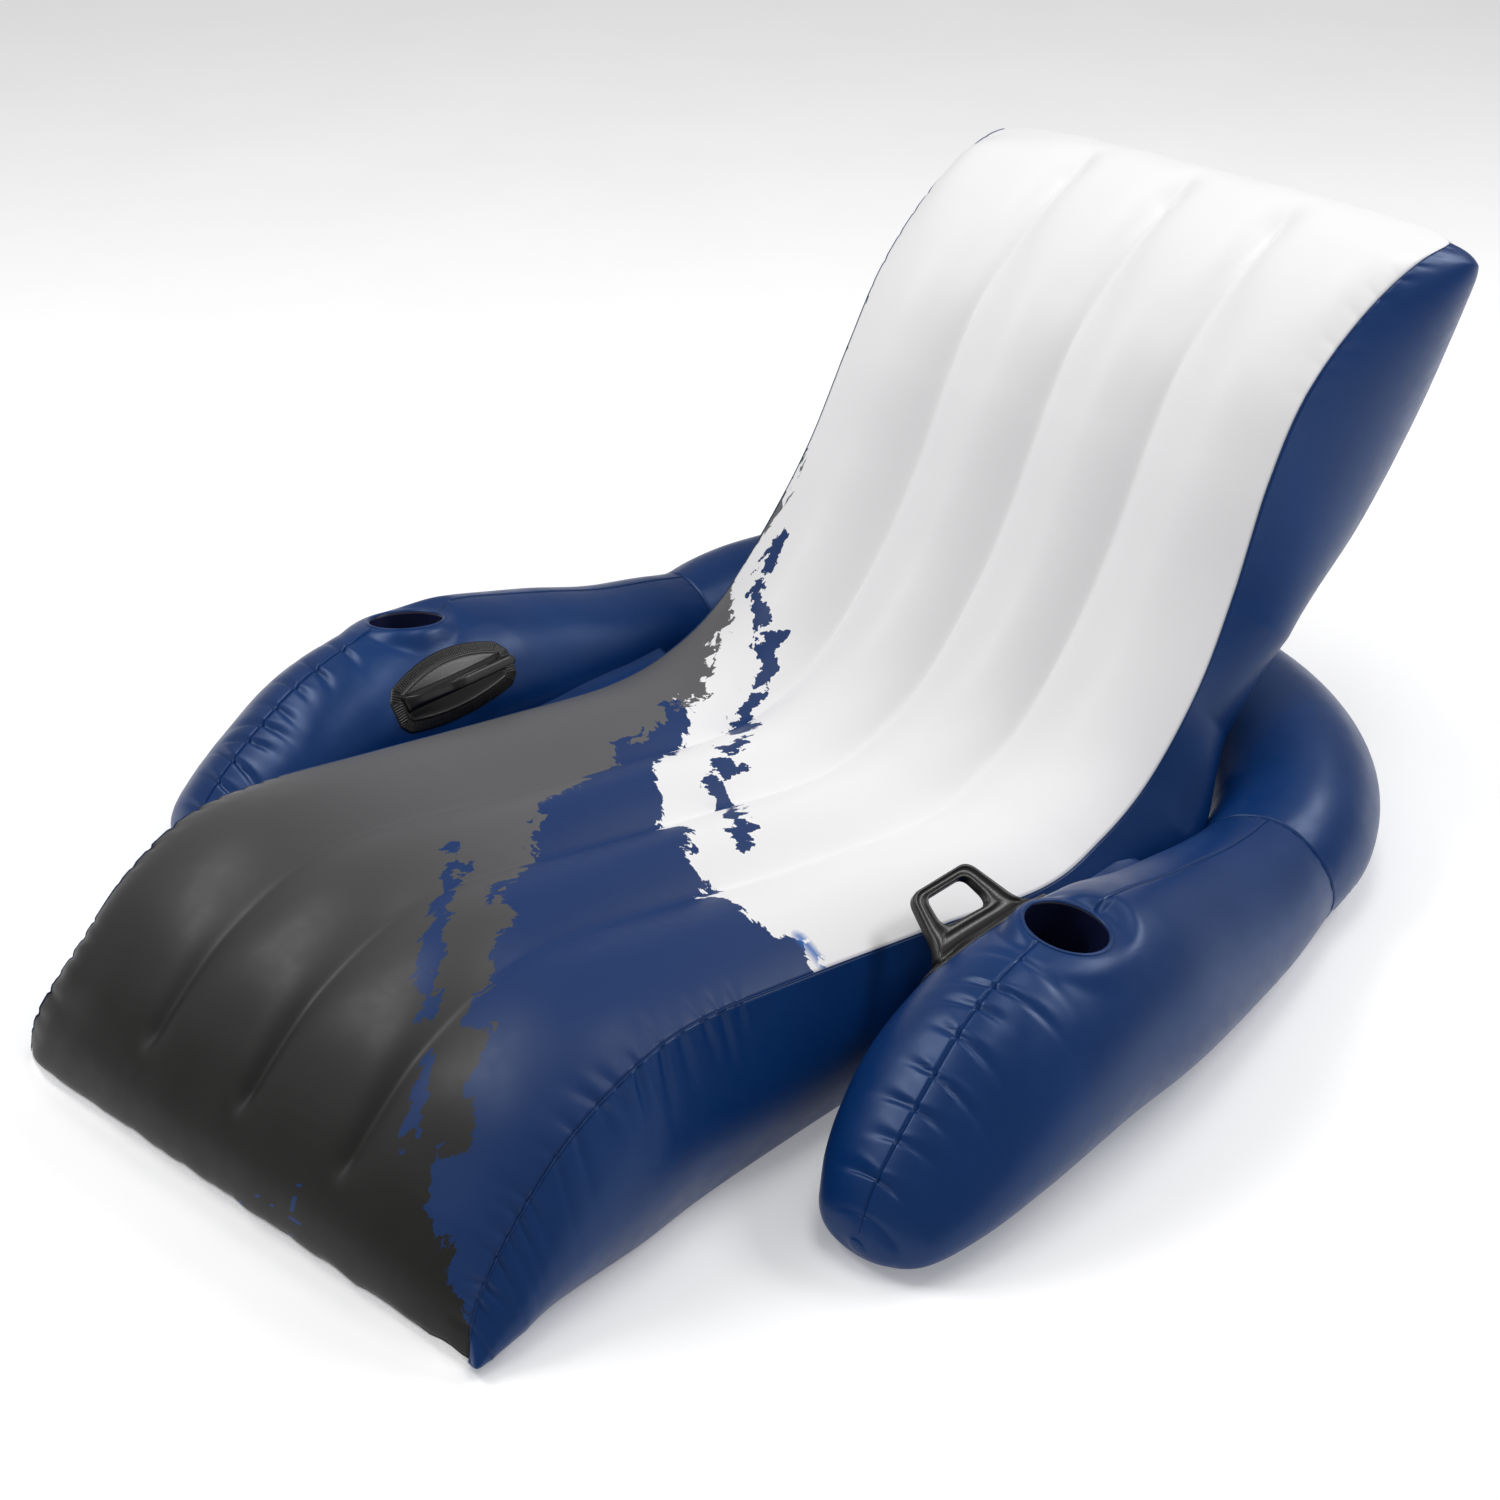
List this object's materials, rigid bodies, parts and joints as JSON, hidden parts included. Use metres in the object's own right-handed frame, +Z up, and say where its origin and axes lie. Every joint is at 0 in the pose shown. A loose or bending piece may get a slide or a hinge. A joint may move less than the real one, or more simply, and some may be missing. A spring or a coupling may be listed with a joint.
{
  "type": "inflatable pool float",
  "caption": "Inflatable pool lounger: a ribbed reclining seat lying inside a U-shaped armrest tube, with cup holders, grab handles and two stoppered air valves.",
  "frame": {"origin": "on the floor, at the middle of the lounger's footprint", "axes": "+X across to the right armrest of someone lying in it seen from the toe, +Y from the toe to the head, +Z up"},
  "size_m": [1.3604, 1.8382, 0.7265],
  "materials": {
    "printed_vinyl": "satin",
    "white_vinyl": "satin",
    "clear_vinyl": "satin",
    "navy_vinyl": "satin",
    "black_vinyl": "satin",
    "moulded_handle": "satin",
    "valve_plastic": "satin"
  },
  "bodies": {
    "root": {"seat_top_panel": "printed_vinyl", "seat_bottom_panel": "white_vinyl", "left_seat_gusset": "navy_vinyl", "right_seat_gusset": "navy_vinyl", "left_seat_web": "clear_vinyl", "centre_seat_web": "clear_vinyl", "right_seat_web": "clear_vinyl", "left_arm_inner_panel": "navy_vinyl", "left_arm_outer_panel": "navy_vinyl", "right_arm_inner_panel": "navy_vinyl", "right_arm_outer_panel": "navy_vinyl", "rear_tube_upper_panel": "navy_vinyl", "rear_tube_lower_panel": "navy_vinyl", "left_cup_sleeve": "black_vinyl", "left_cup_floor": "black_vinyl", "right_cup_sleeve": "black_vinyl", "right_cup_floor": "black_vinyl", "left_grab_handle": "moulded_handle", "right_grab_handle": "moulded_handle", "left_joining_strip": "navy_vinyl", "right_joining_strip": "navy_vinyl", "rear_joining_strip": "navy_vinyl", "seat_valve_base": "valve_plastic", "tube_valve_base": "valve_plastic"},
    "seat_stopper": {"seat_valve_stopper": "valve_plastic"},
    "seat_flap": {"seat_valve_flap": "valve_plastic"},
    "seat_cap": {"seat_valve_cap": "valve_plastic"},
    "tube_stopper": {"tube_valve_stopper": "valve_plastic"},
    "tube_flap": {"tube_valve_flap": "valve_plastic"},
    "tube_cap": {"tube_valve_cap": "valve_plastic"}
  },
  "joints": [
    {"name": "seat_stopper_pull", "type": "slide", "parent": "root", "child": "seat_stopper", "axis": [0, 0.8815, -0.4722], "range_m": [0, 0.03]},
    {"name": "seat_flap_hinge", "type": "hinge", "parent": "seat_stopper", "child": "seat_flap", "pos_m": [-0.09, 0.87964, 0.53094], "axis": [0, -0.4722, -0.8815], "range_deg": [0, 40], "stiffness_Nm_per_rad": 0.001},
    {"name": "seat_cap_hinge", "type": "hinge", "parent": "seat_stopper", "child": "seat_cap", "pos_m": [-0.0683, 0.89832, 0.52093], "axis": [0, -0.4722, -0.8815], "range_deg": [0, 150]},
    {"name": "tube_stopper_pull", "type": "slide", "parent": "root", "child": "tube_stopper", "axis": [0, 1, 0], "range_m": [0, 0.03]},
    {"name": "tube_flap_hinge", "type": "hinge", "parent": "tube_stopper", "child": "tube_flap", "pos_m": [-0.0075, 0.7547, 0.102], "axis": [0, 0, -1], "range_deg": [0, 40], "stiffness_Nm_per_rad": 0.001},
    {"name": "tube_cap_hinge", "type": "hinge", "parent": "tube_stopper", "child": "tube_cap", "pos_m": [0.0142, 0.7759, 0.102], "axis": [0, 0, -1], "range_deg": [0, 150]}
  ]
}
